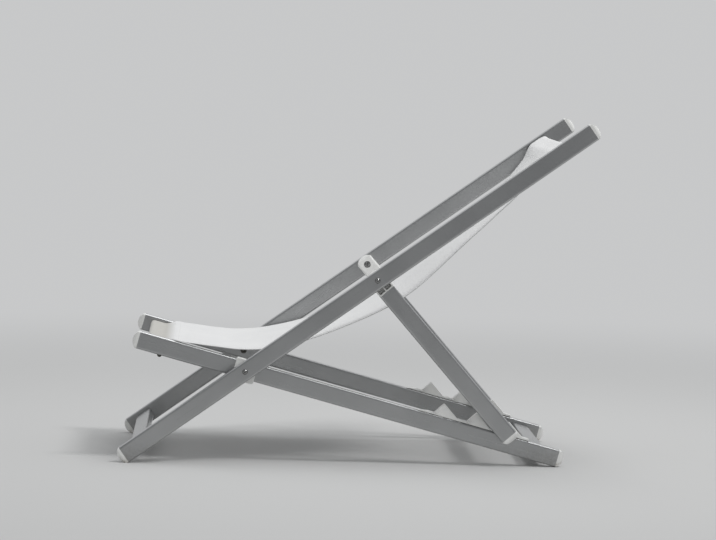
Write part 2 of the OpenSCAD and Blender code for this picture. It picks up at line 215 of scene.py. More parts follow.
def setWorld(s):
    world = bpy.data.worlds.new("studioWorld")
    world.use_nodes = True
    bpy.context.scene.world = world
    tree = world.node_tree
    tree.nodes.clear()
    add, link = nodeTools(tree)
    direction = add("ShaderNodeTexCoord").outputs["Generated"]
    height = axesOf(add, link, direction)["Z"]
    room = twoColours(add, link, height, s["ceilingSpan"], s["backdrop"], s["ceiling"])
    shown = add("ShaderNodeBackground")
    link(roomColour(add, link, direction, room, s), shown.inputs["Color"])
    glow = twoColours(add, link, height, (0, 1), s["lightLow"], s["lightHigh"])
    light = add("ShaderNodeBackground")
    link(glow, light.inputs["Color"])
    out = add("ShaderNodeOutputWorld")
    link(mixShaders(add, link, seenRays(add, link), light, shown), out.inputs["Surface"])


def hangOverhead(lamp):
    bpy.ops.object.light_add(type="AREA", location=lamp["place"])
    light = bpy.context.object
    light.name = "overheadLamp"
    light.data.shape = "RECTANGLE"
    light.data.size, light.data.size_y = lamp["size"]
    light.data.energy = lamp["power"]
    away = Vector(lamp["place"]) - Vector(lamp["aim"])
    light.rotation_euler = away.to_track_quat("Z", "Y").to_euler()


def addSun(lamp):
    bpy.ops.object.light_add(type="SUN")
    light = bpy.context.object
    light.name = "softSun"
    light.data.energy = lamp["strength"]
    light.data.angle = math.radians(lamp["spread"])
    light.rotation_euler = Vector(lamp["from"]).to_track_quat("Z", "Y").to_euler()


def layFloor(s):
    # the floor's far part takes the backdrop's colour, so that no edge shows
    bpy.ops.mesh.primitive_circle_add(
        vertices=s["floorSides"], radius=s["floorRadius"], fill_type="NGON")
    floor = bpy.context.object
    floor.name = "studioFloor"
    mat = bpy.data.materials.new("floorPaint")
    mat.use_nodes = True
    tree = mat.node_tree
    add, link = nodeTools(tree)
    skin = tree.nodes["Principled BSDF"]
    skin.inputs["Base Color"].default_value = s["floor"]
    skin.inputs["Roughness"].default_value = s["floorRoughness"]
    skin.inputs["Specular IOR Level"].default_value = s["floorShine"]
    place = add("ShaderNodeTexCoord").outputs["Object"]
    far = add("ShaderNodeVectorMath", operation="LENGTH")
    outward = add("ShaderNodeVectorMath", operation="NORMALIZE")
    link(place, far.inputs[0])
    link(place, outward.inputs[0])
    fade = eased(add, link, far.outputs["Value"], s["fade"])
    share = maths(add, link, "MULTIPLY", fade, seenRays(add, link))
    glow = add("ShaderNodeEmission")
    room = roomColour(add, link, outward.outputs["Vector"], s["backdrop"], s)
    link(room, glow.inputs["Color"])
    surface = mixShaders(add, link, share, skin, glow)
    link(surface, tree.nodes["Material Output"].inputs["Surface"])
    floor.data.materials.append(mat)


bpy.context.scene.view_settings.view_transform = "Standard"
setWorld(studio)
hangOverhead(studio["overheadLamp"])
addSun(studio["sunLamp"])
layFloor(studio)
print("studio ready")

pivot = Vector((-0.249672, 0, 0.207246))
# degrees above level; the struts hang 84.4463 degrees down from the back rails
tilts = {"back": 35.5839, "seat": -14.9161, "prop": 35.5839 - 84.4463}
hingeSpan = 0.358  # from the pivot to the prop's hinge, along the back rails


def railPoint(tilt, s, n):
    # place at s along rails of that tilt from the pivot, and n above their middle line
    a = math.radians(tilt)
    x = pivot.x + s * math.cos(a) - n * math.sin(a)
    z = pivot.z + s * math.sin(a) + n * math.cos(a)
    return Vector((x, 0, z))


def alongRail(tilt, q):
    # how far along such rails the place q lies from the pivot
    a = math.radians(tilt)
    return (q.x - pivot.x) * math.cos(a) + (q.z - pivot.z) * math.sin(a)


midNoise = (0.3, 0.7)  # the part of its range that a noise mostly stays in
# noises in the dictionaries are given as scale, detail and roughness
grime = {
    "full": 0.001,  # height above the floor at which it is full
    "patches": (160.0, 4.0),
    "patchSpan": (0.35, 0.65),
    "thinnest": 0.15,
}


def newFinish(name):
    mat = bpy.data.materials.new(name)
    mat.use_nodes = True
    tree = mat.node_tree
    add, link = nodeTools(tree)
    return mat, tree.nodes["Principled BSDF"], add, link


def twoTone(add, link, value, v):
    return twoColours(add, link, value, v["toneSpan"], v["dark"], v["light"])


def ranged(add, link, value, fromPair, toPair):
    n = add("ShaderNodeMapRange", **{"From Min": fromPair[0], "From Max": fromPair[1],
                                     "To Min": toPair[0], "To Max": toPair[1]})
    link(value, n.inputs["Value"])
    return n.outputs[0]


def noiseAt(add, link, vector, scale, detail=3.0, roughness=0.6):
    n = add("ShaderNodeTexNoise", Scale=scale, Detail=detail, Roughness=roughness)
    link(vector, n.inputs["Vector"])
    return n.outputs["Fac"]


def roughen(add, link, skin, noise, v):
    link(ranged(add, link, noise, midNoise, v["roughness"]), skin.inputs["Roughness"])


def emboss(add, link, skin, height, v):
    bump = add("ShaderNodeBump", Strength=v["bump"], Distance=v["bumpHeight"])
    link(height, bump.inputs["Height"])
    link(bump.outputs[0], skin.inputs["Normal"])


def lowDirt(add, link, place, reach):
    # grime on what stands near the floor, broken up by noise
    height = axesOf(add, link, place)["Z"]
    low = ranged(add, link, height, (reach, grime["full"]), (0, 1))
    patches = noiseAt(add, link, place, *grime["patches"])
    patchy = ranged(add, link, patches, grime["patchSpan"], (grime["thinnest"], 1))
    return maths(add, link, "MULTIPLY", low, patchy)


aluminium = {
    "dark": (0.415, 0.42, 0.422, 1),
    "light": (0.465, 0.47, 0.472, 1),
    "toneSpan": (0.3, 0.7),
    "clouds": (9, 4.0, 0.55),
    "alongScale": 3,  # drawn lines in each metre, along the tube and across it
    "acrossScale": 900,
    "lines": (1.0,),
    "scratches": (0.23, 5.0, 0.7),
    "scuffSpan": (0.60, 0.72),
    "scuff": (0.66, 0.66, 0.66, 1),
    "scuffShare": 0.35,
    "dirt": (0.16, 0.145, 0.125, 1),
    "dirtReach": 0.05,
    "dirtShare": 0.5,
    "roughness": (0.27, 0.34),
    "bump": 0.06,
    "bumpHeight": 0.0002,
    "metallic": 0.9,
}


def tubeMetal(name, tilt, along, v):
    # drawn and anodised tube: fine lines along it, clouds, light scuffs, grime near the floor
    mat, skin, add, link = newFinish(name)
    place = add("ShaderNodeTexCoord").outputs["Object"]
    turn = add("ShaderNodeMapping")
    turn.inputs["Rotation"].default_value = (0, math.radians(tilt), 0)
    link(place, turn.inputs["Vector"])
    stretch = add("ShaderNodeMapping")
    stretch.inputs["Scale"].default_value = [
        v["alongScale"] if axis == along else v["acrossScale"] for axis in "xyz"]
    link(turn.outputs[0], stretch.inputs["Vector"])
    lines = noiseAt(add, link, stretch.outputs[0], *v["lines"])
    scratches = noiseAt(add, link, stretch.outputs[0], *v["scratches"])
    clouds = noiseAt(add, link, turn.outputs[0], *v["clouds"])
    colour = twoTone(add, link, clouds, v)
    scuffed = ranged(add, link, scratches, v["scuffSpan"], (0, v["scuffShare"]))
    colour = tinted(add, link, scuffed, colour, v["scuff"])
    dirt = lowDirt(add, link, place, v["dirtReach"])
    dirt = ranged(add, link, dirt, (0, 1), (0, v["dirtShare"]))
    colour = tinted(add, link, dirt, colour, v["dirt"])
    link(colour, skin.inputs["Base Color"])
    roughen(add, link, skin, lines, v)
    emboss(add, link, skin, lines, v)
    skin.inputs["Metallic"].default_value = v["metallic"]
    return mat


railFinish = {part: tubeMetal(part + "Tube", tilt, "x", aluminium) for part, tilt in tilts.items()}
barFinish = {part: tubeMetal(part + "Bar", tilt, "y", aluminium) for part, tilt in tilts.items()}

whitePlastic = {
    "dark": (0.78, 0.78, 0.76, 1),
    "light": (0.84, 0.84, 0.825, 1),
    "toneSpan": (0.35, 0.65),
    "clouds": (22.0, 4.0),
    "specks": (700.0, 2.0),
    "speckSpan": (0.66, 0.74),
    "speck": (0.45, 0.43, 0.39, 1),
    "speckShare": 0.35,
    "dirt": (0.30, 0.27, 0.23, 1),
    "dirtReach": 0.016,
    "roughness": (0.28, 0.42),
    "grain": (1400.0, 2.0),
    "bump": 0.15,
    "bumpHeight": 0.0001,
}
rackRub = {
    "wall": 0.586945,  # foot of the last notch's steep wall, along the seat rails
    "notchFloor": 0.025,
    "pitch": 0.076,
    "pastWall": 0.3,  # share of the pitch after which the next notch's mark takes over
    "reach": (0.017, 0.002),  # distances from the foot at which a mark is gone and is full
    "patches": (420.0, 4.0),
    "patchSpan": (0.38, 0.62),
    "share": 0.6,
    "mark": (0.33, 0.33, 0.33, 1),
}


def notchRub(add, link, place, v):
    # grey rub marks at the foot of each notch's steep wall, where the prop's bar rests
    centre = add("ShaderNodeMapping", vector_type="TEXTURE")
    centre.inputs["Location"].default_value = railPoint(tilts["seat"], v["wall"], v["notchFloor"])
    centre.inputs["Rotation"].default_value = (0, math.radians(-tilts["seat"]), 0)
    link(place, centre.inputs["Vector"])
    axes = axesOf(add, link, centre.outputs[0])
    repeat = add("ShaderNodeMath", operation="WRAP")
    link(axes["X"], repeat.inputs[0])
    repeat.inputs[1].default_value = v["pitch"] * v["pastWall"]
    repeat.inputs[2].default_value = -v["pitch"] * (1 - v["pastWall"])
    joined = add("ShaderNodeCombineXYZ")
    link(repeat.outputs[0], joined.inputs["X"])
    link(axes["Z"], joined.inputs["Z"])
    away = add("ShaderNodeVectorMath", operation="LENGTH")
    link(joined.outputs[0], away.inputs[0])
    near = ranged(add, link, away.outputs["Value"], v["reach"], (0, 1))
    patches = noiseAt(add, link, place, *v["patches"])
    patchy = ranged(add, link, patches, v["patchSpan"], (0, 1))
    marks = maths(add, link, "MULTIPLY", near, patchy)
    return ranged(add, link, marks, (0, 1), (0, v["share"]))


def mouldedPlastic(name, v, rub=None):
    # moulded white plastic: fine grain, uneven ageing, grime near the floor
    mat, skin, add, link = newFinish(name)
    place = add("ShaderNodeTexCoord").outputs["Object"]
    clouds = noiseAt(add, link, place, *v["clouds"])
    colour = twoTone(add, link, clouds, v)
    specks = noiseAt(add, link, place, *v["specks"])
    specks = ranged(add, link, specks, v["speckSpan"], (0, v["speckShare"]))
    colour = tinted(add, link, specks, colour, v["speck"])
    colour = tinted(add, link, lowDirt(add, link, place, v["dirtReach"]), colour, v["dirt"])
    if rub:
        colour = tinted(add, link, notchRub(add, link, place, rub), colour, rub["mark"])
    link(colour, skin.inputs["Base Color"])
    roughen(add, link, skin, clouds, v)
    emboss(add, link, skin, noiseAt(add, link, place, *v["grain"]), v)
    return mat


plastic = mouldedPlastic("whiteMoulding", whitePlastic)
rackPlastic = mouldedPlastic("rackMoulding", whitePlastic, rackRub)

anySteel = {"spots": (180.0,), "toneSpan": (0.35, 0.65)}
steels = {
    "bright": {
        "dark": (0.25, 0.25, 0.25, 1), "light": (0.33, 0.33, 0.325, 1), "roughness": (0.08, 0.16)},
    "grey": {
        "dark": (0.30, 0.30, 0.30, 1), "light": (0.40, 0.40, 0.39, 1), "roughness": (0.2, 0.3)},
    "dark": {
        "dark": (0.07, 0.068, 0.062, 1), "light": (0.13, 0.125, 0.115, 1),
        "roughness": (0.25, 0.4)},
}


def screwSteel(name, v):
    mat, skin, add, link = newFinish(name)
    place = add("ShaderNodeTexCoord").outputs["Object"]
    spots = noiseAt(add, link, place, *v["spots"])
    link(twoTone(add, link, spots, v), skin.inputs["Base Color"])
    roughen(add, link, skin, spots, v)
    skin.inputs["Metallic"].default_value = 1.0
    return mat


steel = {kind: screwSteel(kind + "Steel", {**anySteel, **v}) for kind, v in steels.items()}

finishes = {
    "seat_rail_left": railFinish["seat"],
    "seat_rail_right": railFinish["seat"],
    "seat_front_crossbar": barFinish["seat"],
    "seat_rear_crossbar": barFinish["seat"],
    "back_rail_left": railFinish["back"],
    "back_rail_right": railFinish["back"],
    "back_top_crossbar": barFinish["back"],
    "back_foot_crossbar": barFinish["back"],
    "prop_strut_left": railFinish["prop"],
    "prop_strut_right": railFinish["prop"],
    "prop_crossbar": barFinish["prop"],
    "notch_rack_left": rackPlastic,
    "notch_rack_right": rackPlastic,
    "rack_screws": steel["bright"],
    "pivot_bolts": steel["bright"],
    "hinge_bolts": steel["bright"],
    "front_bar_screws": steel["dark"],
    "pivot_nuts": steel["dark"],
    "hinge_nuts": steel["grey"],
}


def dress(node, mat):
    part = nodes[node]
    if part.material_slots:
        for place in part.material_slots:
            place.material = mat
    else:
        part.data.materials.append(mat)


for node in nodes:
    dress(node, finishes.get(node, plastic))
print("CAD nodes dressed")

# edge is the size of the rounding, for edges sharper than so many degrees; it leaves out those
# nearer than hole to a bore's axis, and where sides are given, all that don't lie on a side
endCaps = {"edge": 0.0005, "rounds": 2, "sharper": 38}
hingePlugs = {"edge": 0.0006, "rounds": 2, "sharper": 50, "hole": 0.009}
pivotBlocks = {"edge": 0.0014, "rounds": 3, "sharper": 50, "hole": 0.005}
notchRacks = {"edge": 0.0014, "rounds": 3, "sharper": 50, "sides": (0.238, 0.258)}
smallHardware = {"edge": 0}
copying = {
    "weld": 0.00001,  # points closer than this become one
    "flat": 0.8,  # degrees up to which neighbouring faces become one
    "onSide": 0.0001,  # an edge this near to a side plane lies on it
    "smooth": 33,  # degrees up to which edges are shaded smooth
}


def pieceName(node):
    first, *rest = node.split("_")
    return first + "".join(word.capitalize() for word in rest)


def offSides(edge, sides):
    # how far an edge lies from the nearer side plane of its piece
    return min(max(abs(abs(v.co.y) - side) for v in edge.verts) for side in sides)


def roundEdges(piece, v, holeAt):
    bpy.ops.mesh.select_mode(type="EDGE")
    shape = bmesh.from_edit_mesh(piece.data)
    bpy.ops.mesh.select_all(action="DESELECT")
    for edge in shape.edges:
        if len(edge.link_faces) != 2 or not edge.is_convex:
            continue
        if math.degrees(edge.calc_face_angle()) < v["sharper"]:
            continue
        if "sides" in v and offSides(edge, v["sides"]) > copying["onSide"]:
            continue
        middle = (edge.verts[0].co + edge.verts[1].co) / 2
        if holeAt and math.hypot(middle.x - holeAt.x, middle.z - holeAt.z) < v["hole"]:
            continue
        edge.select_set(True)
    bmesh.update_edit_mesh(piece.data)
    bpy.ops.mesh.bevel(offset=v["edge"], segments=v["rounds"], profile=0.5, clamp_overlap=True)


def finishedCopy(node, v, holeAt=None):
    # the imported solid, merged, with its moulded edges rounded and its curves shaded smooth
    bpy.ops.object.select_all(action="DESELECT")
    piece = bpy.data.objects.new(pieceName(node), nodes[node].data.copy())
    bpy.context.scene.collection.objects.link(piece)
    bpy.context.view_layer.objects.active = piece
    piece.select_set(True)
    bpy.ops.object.mode_set(mode="EDIT")
    bpy.ops.mesh.select_all(action="SELECT")
    bpy.ops.mesh.remove_doubles(threshold=copying["weld"])
    bpy.ops.mesh.dissolve_limited(angle_limit=math.radians(copying["flat"]))
    if v["edge"]:
        roundEdges(piece, v, holeAt)
    bpy.ops.object.mode_set(mode="OBJECT")
    bpy.ops.object.shade_smooth_by_angle(angle=math.radians(copying["smooth"]))
    even = piece.modifiers.new("evenShade", "WEIGHTED_NORMAL")
    even.keep_sharp = True
    bpy.ops.object.modifier_apply(modifier=even.name)
    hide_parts(node)
    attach(piece, body_of(nodes[node])[0])


hinge = railPoint(tilts["back"], hingeSpan, 0)
for node in nodes:
    if "_cap_" in node:
        finishedCopy(node, endCaps)
    elif "hinge_plug" in node:
        finishedCopy(node, hingePlugs, hinge)
    elif "pivot_block" in node:
        finishedCopy(node, pivotBlocks, pivot)
    elif "notch_rack" in node:
        finishedCopy(node, notchRacks)
    elif slotOf[node] in ("bright_steel", "dark_steel") or node == "hinge_washers":
        finishedCopy(node, smallHardware)
print("mouldings and fasteners finished")

# shares are parts of the straight way from the front bar to the top bar
sling = {
    "halfWidth": 0.256,
    "frontHalfWidth": 0.232,
    "shoulder": (-0.179, -0.170),  # along the seat rails, where the front pocket's cut widens
    "thickness": 0.0012,
    "barHalf": 0.020,
    "barHigh": 0.010,
    "barRound": 0.005,
    "gap": 0.0010,  # middle of the cloth off the bar
    "frontBar": -0.207,  # along the seat rails from the pivot
    "topBar": 0.859,  # along the back rails from the pivot
    "frontRise": 0.00096,  # how much higher the cloth lies at the front bar's inner edge
    # distance past the front bar, and height above the seat rails' middle line
    "frontLead": [(0.016, 0.0215), (0.040, 0.0236)],
    "sag": 0.145,
    # share, and part of the sag
    "wayShares": [
        (0.10, 0.40), (0.15, 0.60), (0.21, 0.765), (0.29, 0.90), (0.38, 0.98), (0.48, 1.00),
        (0.565, 0.945), (0.66, 0.79), (0.74, 0.645), (0.81, 0.51), (0.865, 0.41), (0.915, 0.28),
        (0.958, 0.135)],
    "waySteps": 12,
    "overBar": (0.35, 0.7, 1.0),  # points over and under a bar, as shares of its flat half
    "underBar": (0.6, 0.2, -0.2, -0.6, -1.0),
    "cornerStep": 18,  # degrees
    "lap": 0.025,
    "lapDrop": 0.0014,
    "seamOff": 0.010,  # from the bar to the seam
    "step": 0.006,
    "lapStep": 0.004,
    "columns": 62,
    # distance from the edge, and share of the hem's extra thickness
    "hem": [
        (0, -0.6), (0.0006, 0.6), (0.002, 1), (0.009, 1), (0.014, 0.85), (0.0165, 1),
        (0.0178, 0.5), (0.019, 0)],
    "hemOver": 0.0004,
    "hemUnder": 0.0009,
    "underStarts": (0.05, 0.09),  # shares over which the hem's underside thickens and thins
    "underStops": (0.93, 0.955),
    # share, and how much higher the far edge hangs than the middle
    "lean": [
        (0, 0), (0.1, 0), (0.3, 0.0035), (0.6, 0.0035), (0.78, 0), (0.86, -0.0035),
        (0.92, -0.0028), (0.965, -0.0045), (1, 0)],
    "wave": 0.0012,
    "waveRate": 18.25,  # radians for each metre of cloth
    "waveSkew": 2.1,  # radians from the middle to an edge
    "edgeCurl": -0.001,
    "freeStarts": (0.05, 0.2),  # shares over which wave and edge curl come and go
    "freeStops": (0.9, 0.98),
    "topCurl": 0.0045,
    "topCurlSpan": (0.955, 1.02),
    "topCurlEnd": 0.03,  # metres of cloth round the top bar until it is gone
    "pucker": 0.00045,  # little gathers where the cloth leaves its pockets
    "puckerReach": 0.045,
    "puckerStart": (0.02, 0.06),
    "puckerBeat": 0.117,
    "puckerUneven": 0.4,
    "gathers": [(0.045, 0.031, 0.4), (0.965, 0.036, 1.7)],  # share, metres a fold, radians
}


def smoothWay(points, steps):
    way = []
    for a, b, c, d in zip(points, points[1:], points[2:], points[3:]):
        for k in range(steps):
            t = k / steps
            way.append(0.5 * (2 * b + (c - a) * t + (2 * a - 5 * b + 4 * c - d) * t * t
                              + (3 * b - a - 3 * c + d) * t ** 3))
    way.append(points[-2])
    return way


def easeStep(low, high, value):
    t = min(1, max(0, (value - low) / (high - low)))
    return t * t * (3 - 2 * t)


def easeBand(starts, stops, value):
    return easeStep(*starts, value) * (1 - easeStep(*stops, value))


def fromTable(table, value):
    for (a, x), (b, y) in zip(table, table[1:]):
        if value <= b:
            return x + (y - x) * easeStep(a, b, value)
    return table[-1][1]


def slingChord(c):
    face = c["barHigh"] + c["gap"]
    inner = c["frontBar"] + c["barHalf"] - c["barRound"]
    front = railPoint(tilts["seat"], inner, face + c["frontRise"])
    top = railPoint(tilts["back"], c["topBar"] - c["barHalf"], face)
    return front, top


def slingHang(c):
    # free way of the cloth's middle, from the front bar's top face to the top bar's
    face = c["barHigh"] + c["gap"]
    flat = c["barHalf"] - c["barRound"]
    seat, back = tilts["seat"], tilts["back"]
    front, top = slingChord(c)
    chord = top - front
    down = Vector((chord.z, 0, -chord.x)).normalized()
    hang = [
        railPoint(seat, c["frontBar"] - flat, face), railPoint(seat, c["frontBar"], face), front]
    hang += [railPoint(seat, c["frontBar"] + c["barHalf"] + past, high)
             for past, high in c["frontLead"]]
    hang += [front + chord * a + down * (b * c["sag"]) for a, b in c["wayShares"]]
    hang += [
        top, railPoint(back, c["topBar"] - c["barHalf"] / 2, face),
        railPoint(back, c["topBar"], face)]
    return smoothWay(hang, c["waySteps"])


def barCorner(x, n, r, start, c):
    # a quarter turn round a bar's rounded edge, downwards from the angle start
    turns = [start - k * c["cornerStep"] for k in range(1, 90 // c["cornerStep"] + 1)]
    return [(x + r * math.cos(math.radians(a)), n + r * math.sin(math.radians(a))) for a in turns]


def barLoop(tilt, middle, side, c):
    # round the bar, from its top face past its far edge to the seam on the near side
    flat = c["barHalf"] - c["barRound"]
    high = c["barHigh"] - c["barRound"]
    r = c["barRound"] + c["gap"]
    loop = [(flat * k, high + r) for k in c["overBar"]]
    loop += barCorner(flat, high, r, 90, c) + barCorner(flat, -high, r, 0, c)
    loop += [(flat * k, -high - r) for k in c["underBar"]]
    loop += barCorner(-flat, -high, r, -90, c)
    return [railPoint(tilt, middle + side * x, n) for x, n in loop]


def lapUnder(hang, where, c):
    # the sewn lap lies just below the cloth, here along the points that where names
    out = []
    for i in where:
        ahead = hang[i + 1] - hang[i - 1]
        below = Vector((ahead.z, 0, -ahead.x)).normalized()
        out.append(hang[i] + below * c["lapDrop"])
    return out


def lengthsAlong(points):
    lengths = [0]
    for a, b in zip(points, points[1:]):
        lengths.append(lengths[-1] + (b - a).length)
    return lengths


def evenWay(points, step):
    lengths = lengthsAlong(points)
    count = max(2, round(lengths[-1] / step))
    out, k = [], 0
    for i in range(count + 1):
        want = lengths[-1] * i / count
        while k < len(points) - 2 and lengths[k + 1] < want:
            k += 1
        share = (want - lengths[k]) / max(lengths[k + 1] - lengths[k], 1e-9)
        out.append(points[k].lerp(points[k + 1], share))
    return out


def clothWay(c):
    # the whole cut from end to end; the front lap runs towards its seam, the top lap from it
    hang = slingHang(c)
    frontEdge, topEdge = c["frontBar"] + c["barHalf"], c["topBar"] - c["barHalf"]
    seam, end = c["seamOff"], c["seamOff"] + c["lap"]
    half = len(hang) // 2
    inFront = [i for i in range(1, half)
               if seam < alongRail(tilts["seat"], hang[i]) - frontEdge < end]
    atTop = [i for i in range(half, len(hang) - 1)
             if seam < topEdge - alongRail(tilts["back"], hang[i]) < end]
    ways = {
        "frontLap": evenWay(lapUnder(hang, inFront[::-1], c), c["lapStep"]),
        "frontLoop": barLoop(tilts["seat"], c["frontBar"], -1, c)[::-1],
        "hang": evenWay(hang, c["step"]),
        "topLoop": barLoop(tilts["back"], c["topBar"], 1, c),
        "topLap": evenWay(lapUnder(hang, atTop[::-1], c), c["lapStep"]),
    }
    return [(q, kind) for kind, points in ways.items() for q in points]


def edgeAt(q, kind, c):
    # the front pocket is cut narrower, so that it fits between the seat rails
    if kind in ("frontLap", "frontLoop"):
        return c["frontHalfWidth"]
    out = easeStep(*c["shoulder"], alongRail(tilts["seat"], q))
    return c["frontHalfWidth"] + (c["halfWidth"] - c["frontHalfWidth"]) * out


def clothColumns(edge, c):
    # distance across and share of hem at each column, from the left edge to the right one
    hem = [(-edge + d, share) for d, share in c["hem"]]
    inner = edge - c["hem"][-1][0]
    field = [(inner * (2 * k / c["columns"] - 1), 0) for k in range(1, c["columns"])]
    return hem + field + [(-y, share) for y, share in reversed(hem)]


def puckers(y, share, c):
    lift = 0
    turns = 2 * math.pi * y
    for seam, period, shift in c["gathers"]:
        near = math.exp(-abs(share - seam) / c["puckerReach"])
        near *= easeStep(*c["puckerStart"], min(share, 1 - share))
        uneven = c["puckerUneven"] * math.sin(turns / c["puckerBeat"] + shift)
        gather = math.sin(turns / period + shift) * (1 - c["puckerUneven"] + uneven)
        lift += c["pucker"] * near * gather
    return lift


def clothLift(y, share, kind, run, turned, c):
    # how far the cloth stands off its middle way, towards its outer face
    across = y / c["halfWidth"]
    if kind == "topLoop":
        return c["topCurl"] * max(0, 1 - turned) * across ** 4
    if kind == "frontLoop":
        return 0
    wave = c["wave"] * math.sin(c["waveRate"] * run + c["waveSkew"] * across)
    free = easeBand(c["freeStarts"], c["freeStops"], share)
    lift = fromTable(c["lean"], share) * across
    lift += free * (wave + c["edgeCurl"] * across ** 6)
    lift += c["topCurl"] * easeStep(*c["topCurlSpan"], share) * across ** 4
    lift += puckers(y, share, c)
    # a lap runs back under the cloth, so its outer face looks the other way
    return lift if kind == "hang" else -lift


def layCloth(c):
    # the cloth's points in rows from edge to edge, its whole length and its flat area
    way = clothWay(c)
    points = [q for q, kind in way]
    run = lengthsAlong(points)
    front, top = slingChord(c)
    chord = top - front
    topStart = run[[kind for q, kind in way].index("topLoop")]
    rows, area = [], 0
    for i, (q, kind) in enumerate(way):
        ahead = points[min(i + 1, len(way) - 1)] - points[max(i - 1, 0)]
        out = Vector((-ahead.z, 0, ahead.x)).normalized()
        edge = edgeAt(q, kind, c)
        share = (q - front).dot(chord) / chord.length_squared
        turned = (run[i] - topStart) / c["topCurlEnd"]
        below = 0
        if kind == "hang":
            below = c["hemUnder"] * easeBand(c["underStarts"], c["underStops"], share)
        if i:
            area += 2 * edge * (run[i] - run[i - 1])
        row = []
        for y, hem in clothColumns(edge, c):
            lift = clothLift(y, share, kind, run[i], turned, c)
            over = c["thickness"] / 2 + c["hemOver"] * hem
            under = c["thickness"] / 2 + (below if hem > 0 else c["hemOver"]) * hem
            spot = q + out * lift + Vector((0, y, 0))
            row.append({"up": spot + out * over, "down": spot - out * under, "out": out,
                        "mark": (y, run[i]), "kind": kind, "share": share})
        rows.append(row)
    return rows, run[-1], area


def pieceFrom(mesh, name):
    bmesh.ops.recalc_face_normals(mesh, faces=mesh.faces)
    data = bpy.data.meshes.new(name)
    mesh.to_mesh(data)
    mesh.free()
    piece = bpy.data.objects.new(name, data)
    bpy.context.scene.collection.objects.link(piece)
    return piece


def sewSling(rows):
    # a closed skin over the rows of points, with its map in metres of cloth
    mesh = bmesh.new()
    weave = mesh.loops.layers.uv.new("slingWeave")
    upper = [[mesh.verts.new(spot["up"]) for spot in row] for row in rows]
    lower = [[mesh.verts.new(spot["down"]) for spot in row] for row in rows]

    def addFace(*corners):
        face = mesh.faces.new([side[i][j] for side, i, j in corners])
        face.smooth = True
        for loop, (side, i, j) in zip(face.loops, corners):
            loop[weave].uv = rows[i][j]["mark"]

    lastRow, lastColumn = len(rows) - 1, len(rows[0]) - 1
    for i in range(lastRow):
        for j in range(lastColumn):
            addFace((upper, i, j), (upper, i + 1, j), (upper, i + 1, j + 1), (upper, i, j + 1))
            addFace((lower, i, j + 1), (lower, i + 1, j + 1), (lower, i + 1, j), (lower, i, j))
        j = lastColumn
        addFace((upper, i, 0), (lower, i, 0), (lower, i + 1, 0), (upper, i + 1, 0))
        addFace((upper, i + 1, j), (lower, i + 1, j), (lower, i, j), (upper, i, j))
    for j in range(lastColumn):
        i = lastRow
        addFace((upper, 0, j + 1), (lower, 0, j + 1), (lower, 0, j), (upper, 0, j))
        addFace((upper, i, j), (lower, i, j), (lower, i, j + 1), (upper, i, j + 1))
    return pieceFrom(mesh, "slingCloth")


fabric = {
    "dark": (0.77, 0.77, 0.77, 1),
    "light": (0.83, 0.83, 0.825, 1),
    "toneSpan": (0.35, 0.65),
    "clouds": (7.0, 3.0, 0.5),
    "yarnStretch": (260, 40, 1),
    "yarns": (1.0, 4.0),
    "threads": 240,
    # painted shade: the grey laid into the gaps between the threads
    "gap": (0.62, 0.62, 0.62, 1),
    "gapSpan": (0.0, 0.35),
    "gapShade": 0.25,
    "pocket": (0.50, 0.485, 0.445, 1),  # the front pocket's cloth is painted darker and beige
    "pocketShare": 0.85,
    "pocketFade": (0.168, 0.148),  # metres along the cloth from its front end
    "bump": 0.35,
    "bumpHeight": 0.0003,
    "roughness": (0.78, 0.92),
    "sheen": 0.1,
    "shine": 0.25,
}


def slingFabric(name, v):
    # plain weave on the cloth's own map, with uneven yarns, faint clouds and painted shade in the gaps
    # between the threads
    mat, skin, add, link = newFinish(name)
    uv = add("ShaderNodeUVMap", uv_map="slingWeave").outputs[0]
    warp = add("ShaderNodeTexWave", Scale=v["threads"], wave_type="BANDS", bands_direction="X")
    weft = add("ShaderNodeTexWave", Scale=v["threads"], wave_type="BANDS", bands_direction="Y")
    link(uv, warp.inputs["Vector"])
    link(uv, weft.inputs["Vector"])
    weave = maths(add, link, "MULTIPLY", warp.outputs["Fac"], weft.outputs["Fac"])
    stretch = add("ShaderNodeMapping")
    stretch.inputs["Scale"].default_value = v["yarnStretch"]
    link(uv, stretch.inputs["Vector"])
    yarns = noiseAt(add, link, stretch.outputs[0], *v["yarns"])
    mottle = add("ShaderNodeMix", data_type="FLOAT")  # half yarns, half clouds
    link(yarns, mottle.inputs[2])
    link(noiseAt(add, link, uv, *v["clouds"]), mottle.inputs[3])
    colour = twoTone(add, link, mottle.outputs[0], v)
    # painted shade: the gaps between the threads are painted darker grey
    paintedGapShade = ranged(add, link, weave, v["gapSpan"], (v["gapShade"], 0))
    colour = tinted(add, link, paintedGapShade, colour, v["gap"])
    # the front pocket's cloth is painted darker and beige, fading out along the cloth
    alongCloth = axesOf(add, link, uv)["Y"]
    inPocket = ranged(add, link, alongCloth, v["pocketFade"], (0, v["pocketShare"]))
    colour = tinted(add, link, inPocket, colour, v["pocket"])
    link(colour, skin.inputs["Base Color"])
    emboss(add, link, skin, weave, v)
    roughen(add, link, skin, yarns, v)
    skin.inputs["Sheen Weight"].default_value = v["sheen"]
    skin.inputs["Specular IOR Level"].default_value = v["shine"]
    return mat


slingRows, clothLength, clothArea = layCloth(sling)
slingCloth = sewSling(slingRows)
slingCloth.data.materials.append(slingFabric("slingFabric", fabric))
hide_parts("sling")
print("sling sewn, cut length", round(clothLength, 4), "area", round(clothArea, 4))

